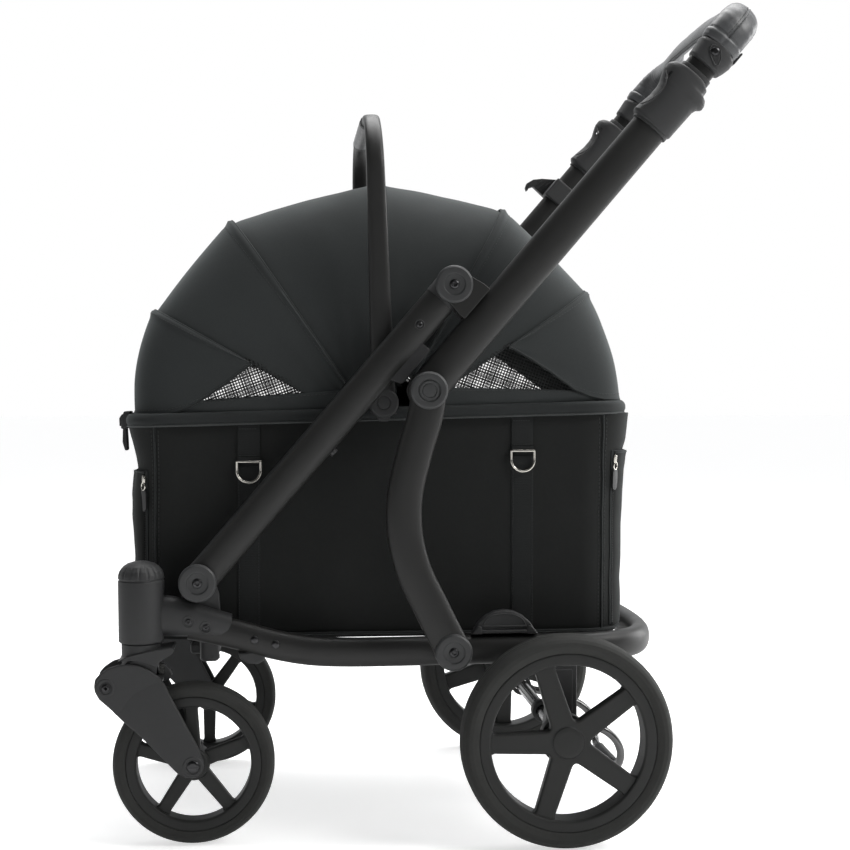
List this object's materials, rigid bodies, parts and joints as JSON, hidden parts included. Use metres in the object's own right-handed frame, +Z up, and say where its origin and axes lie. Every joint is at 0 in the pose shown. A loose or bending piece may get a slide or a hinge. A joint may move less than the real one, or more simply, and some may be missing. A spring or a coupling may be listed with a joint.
{
  "type": "pet stroller",
  "caption": "Folding pet stroller: oval tube chassis, swivelling sprung casters, foot brake, telescoping handle, and a lift-off fabric carrier with fan canopy and bail",
  "frame": {"origin": "middle of the bounding box in plan, on the floor under the wheels", "axes": "+Z up; -X is the front, where the swivel casters are; -Y is the stroller's left side; +X towards the person pushing"},
  "size_m": [0.8018, 0.584, 1.0119],
  "materials": {
    "frame_tube": "satin charcoal-black powder coat",
    "moulded_black": "fine-textured dark grey moulding",
    "pivot_cap": "smooth satin moulding",
    "tyre_rubber": "matte",
    "buffer_rubber": "matte",
    "steel_rod": "polished",
    "leather_wrap": "satin grained",
    "carrier_fabric": "dark tight weave",
    "canopy_fabric": "soft smooth weave",
    "pad_fabric": "brushed",
    "bail_metal": "satin powder coat"
  },
  "bodies": {
    "chassis": {"base_loop": "frame_tube", "front_crossmember": "frame_tube", "rear_axle": "steel_rod", "caster_housing_left": "moulded_black", "caster_housing_right": "moulded_black", "lower_pivot_bolt_left": "pivot_cap", "lower_pivot_bolt_right": "pivot_cap", "rear_strut_left": "moulded_black", "rear_strut_right": "moulded_black"},
    "dock_release_left": {"dock_button_left": "moulded_black"},
    "fork_left": {"caster_fork_left": "moulded_black", "caster_buffer_left": "buffer_rubber"},
    "arm_left": {"caster_arm_left": "moulded_black", "front_axle_left": "steel_rod"},
    "front_wheel_left": {"front_rim_left": "moulded_black", "front_tyre_left": "tyre_rubber"},
    "rear_wheel_left": {"rear_rim_left": "moulded_black", "rear_tyre_left": "tyre_rubber"},
    "pin_left": {"brake_pin_left": "steel_rod"},
    "plunger_left": {"lock_plunger_left": "steel_rod"},
    "collar_left": {"release_collar_left": "moulded_black"},
    "dock_release_right": {"dock_button_right": "moulded_black"},
    "fork_right": {"caster_fork_right": "moulded_black", "caster_buffer_right": "buffer_rubber"},
    "arm_right": {"caster_arm_right": "moulded_black", "front_axle_right": "steel_rod"},
    "front_wheel_right": {"front_rim_right": "moulded_black", "front_tyre_right": "tyre_rubber"},
    "rear_wheel_right": {"rear_rim_right": "moulded_black", "rear_tyre_right": "tyre_rubber"},
    "pin_right": {"brake_pin_right": "steel_rod"},
    "plunger_right": {"lock_plunger_right": "steel_rod"},
    "collar_right": {"release_collar_right": "moulded_black"},
    "brake": {"brake_bar": "steel_rod"},
    "front_frame": {"front_tube_left": "frame_tube", "front_tube_right": "frame_tube", "upper_pivot_bolt_left": "pivot_cap", "upper_pivot_bolt_right": "pivot_cap"},
    "legs": {"rear_leg_left": "frame_tube", "rear_leg_right": "frame_tube"},
    "handle": {"handle_tube_left": "frame_tube", "handle_tube_right": "frame_tube", "handle_bracket_left": "moulded_black", "handle_bracket_right": "moulded_black", "cup_holder_hook": "moulded_black"},
    "telescope": {"telescoping_handle": "frame_tube", "leather_grip": "leather_wrap", "grip_housing_left": "moulded_black", "grip_housing_right": "moulded_black"},
    "carrier": {"carrier_tub": "carrier_fabric", "carrier_rim_frame": "carrier_fabric", "mattress": "pad_fabric", "canopy_centre": "canopy_fabric"},
    "bail": {"carrier_bail": "bail_metal"},
    "hood_front_mid": {"canopy_front_panel": "canopy_fabric"},
    "hood_front": {"canopy_front_hood": "canopy_fabric"},
    "hood_rear_mid": {"canopy_rear_panel": "canopy_fabric"},
    "hood_rear": {"canopy_rear_hood": "canopy_fabric"}
  },
  "joints": [
    {"name": "fold", "type": "hinge", "parent": "front_frame", "child": "handle", "pos_m": [0.0214, 0, 0.6602], "axis": [0, -1, 0], "range_deg": [0, 177.4]},
    {"name": "front_frame_fold", "type": "hinge", "parent": "chassis", "child": "front_frame", "pos_m": [-0.2813, 0, 0.3087], "axis": [0, 1, 0], "range_deg": [0, 50.6]},
    {"name": "legs_fold", "type": "hinge", "parent": "chassis", "child": "legs", "pos_m": [0.0183, 0, 0.2273], "axis": [0, 1, 0], "range_deg": [0, 72.3]},
    {"name": "carrier_lift", "type": "slide", "parent": "chassis", "child": "carrier", "axis": [-0.9191, 0, 0.394], "range_m": [0, 0.9]},
    {"name": "handle_extend", "type": "slide", "parent": "handle", "child": "telescope", "axis": [0.6494, 0, 0.7604], "range_m": [0, 0.1]},
    {"name": "collar_pull_left", "type": "slide", "parent": "handle", "child": "collar_left", "axis": [0.6494, 0, 0.7604], "range_m": [0, 0.012], "stiffness_N_per_m": 600, "springref_m": -0.004},
    {"name": "lock_left", "type": "slide", "parent": "front_frame", "child": "plunger_left", "axis": [-0.7577, 0, 0.6525], "range_m": [0, 0.0052], "stiffness_N_per_m": 400, "springref_m": -0.002},
    {"name": "swivel_left", "type": "hinge", "parent": "chassis", "child": "fork_left", "pos_m": [-0.3479, -0.21, 0.27], "axis": [0, 0, 1], "continuous": true},
    {"name": "suspension_left", "type": "hinge", "parent": "fork_left", "child": "arm_left", "pos_m": [-0.3865, -0.21, 0.1874], "axis": [0, -1, 0], "range_deg": [0, 6], "stiffness_Nm_per_rad": 20, "springref_deg": -14.32, "deforming": ["caster_buffer_left"]},
    {"name": "front_spin_left", "type": "hinge", "parent": "arm_left", "child": "front_wheel_left", "pos_m": [-0.2863, -0.21, 0.095], "axis": [0, 1, 0], "continuous": true},
    {"name": "rear_spin_left", "type": "hinge", "parent": "chassis", "child": "rear_wheel_left", "pos_m": [0.1491, -0.27, 0.125], "axis": [0, 1, 0], "continuous": true},
    {"name": "brake_pin_slide_left", "type": "slide", "parent": "chassis", "child": "pin_left", "axis": [0, -1, 0], "range_m": [0, 0.0062]},
    {"name": "dock_push_left", "type": "slide", "parent": "chassis", "child": "dock_release_left", "axis": [0, 1, 0], "range_m": [0, 0.006], "stiffness_N_per_m": 500, "springref_m": -0.003},
    {"name": "collar_pull_right", "type": "slide", "parent": "handle", "child": "collar_right", "axis": [0.6494, 0, 0.7604], "range_m": [0, 0.012], "stiffness_N_per_m": 600, "springref_m": -0.004},
    {"name": "lock_right", "type": "slide", "parent": "front_frame", "child": "plunger_right", "axis": [-0.7577, 0, 0.6525], "range_m": [0, 0.0052], "stiffness_N_per_m": 400, "springref_m": -0.002},
    {"name": "swivel_right", "type": "hinge", "parent": "chassis", "child": "fork_right", "pos_m": [-0.3479, 0.21, 0.27], "axis": [0, 0, 1], "continuous": true},
    {"name": "suspension_right", "type": "hinge", "parent": "fork_right", "child": "arm_right", "pos_m": [-0.3865, 0.21, 0.1874], "axis": [0, -1, 0], "range_deg": [0, 6], "stiffness_Nm_per_rad": 20, "springref_deg": -14.32, "deforming": ["caster_buffer_right"]},
    {"name": "front_spin_right", "type": "hinge", "parent": "arm_right", "child": "front_wheel_right", "pos_m": [-0.2863, 0.21, 0.095], "axis": [0, 1, 0], "continuous": true},
    {"name": "rear_spin_right", "type": "hinge", "parent": "chassis", "child": "rear_wheel_right", "pos_m": [0.1491, 0.27, 0.125], "axis": [0, 1, 0], "continuous": true},
    {"name": "brake_pin_slide_right", "type": "slide", "parent": "chassis", "child": "pin_right", "axis": [0, 1, 0], "range_m": [0, 0.0062]},
    {"name": "dock_push_right", "type": "slide", "parent": "chassis", "child": "dock_release_right", "axis": [0, -1, 0], "range_m": [0, 0.006], "stiffness_N_per_m": 500, "springref_m": -0.003},
    {"name": "brake_press", "type": "hinge", "parent": "chassis", "child": "brake", "pos_m": [0.1491, 0, 0.125], "axis": [0, 1, 0], "range_deg": [0, 18]},
    {"name": "bail_swing", "type": "hinge", "parent": "carrier", "child": "bail", "pos_m": [-0.0597, 0, 0.5197], "axis": [0, 1, 0], "range_deg": [-85, 85]},
    {"name": "canopy_open_front", "type": "hinge", "parent": "carrier", "child": "hood_front_mid", "pos_m": [-0.0597, 0, 0.5197], "axis": [0, 1, 0], "range_deg": [0, 34]},
    {"name": "canopy_open_front_hood", "type": "hinge", "parent": "hood_front_mid", "child": "hood_front", "pos_m": [-0.0597, 0, 0.5197], "axis": [0, 1, 0], "range_deg": [0, 30]},
    {"name": "canopy_open_rear", "type": "hinge", "parent": "carrier", "child": "hood_rear_mid", "pos_m": [-0.0597, 0, 0.5197], "axis": [0, -1, 0], "range_deg": [0, 34]},
    {"name": "canopy_open_rear_hood", "type": "hinge", "parent": "hood_rear_mid", "child": "hood_rear", "pos_m": [-0.0597, 0, 0.5197], "axis": [0, -1, 0], "range_deg": [0, 30]}
  ],
  "couplings": [
    {"joint": "front_frame_fold", "follows": "fold", "ratio": 0.2841},
    {"joint": "legs_fold", "follows": "fold", "ratio": 0.4064},
    {"joint": "carrier_lift", "follows": "fold", "m_per_rad": 0.2904},
    {"joint": "lock_left", "follows": "collar_pull_left", "ratio": 0.42},
    {"joint": "lock_right", "follows": "collar_pull_right", "ratio": 0.42},
    {"joint": "brake_pin_slide_left", "follows": "brake_press", "m_per_rad": 0.0195},
    {"joint": "brake_pin_slide_right", "follows": "brake_press", "m_per_rad": 0.0195},
    {"joint": "canopy_open_front_hood", "follows": "canopy_open_front", "ratio": 0.87},
    {"joint": "canopy_open_rear_hood", "follows": "canopy_open_rear", "ratio": 0.87}
  ]
}
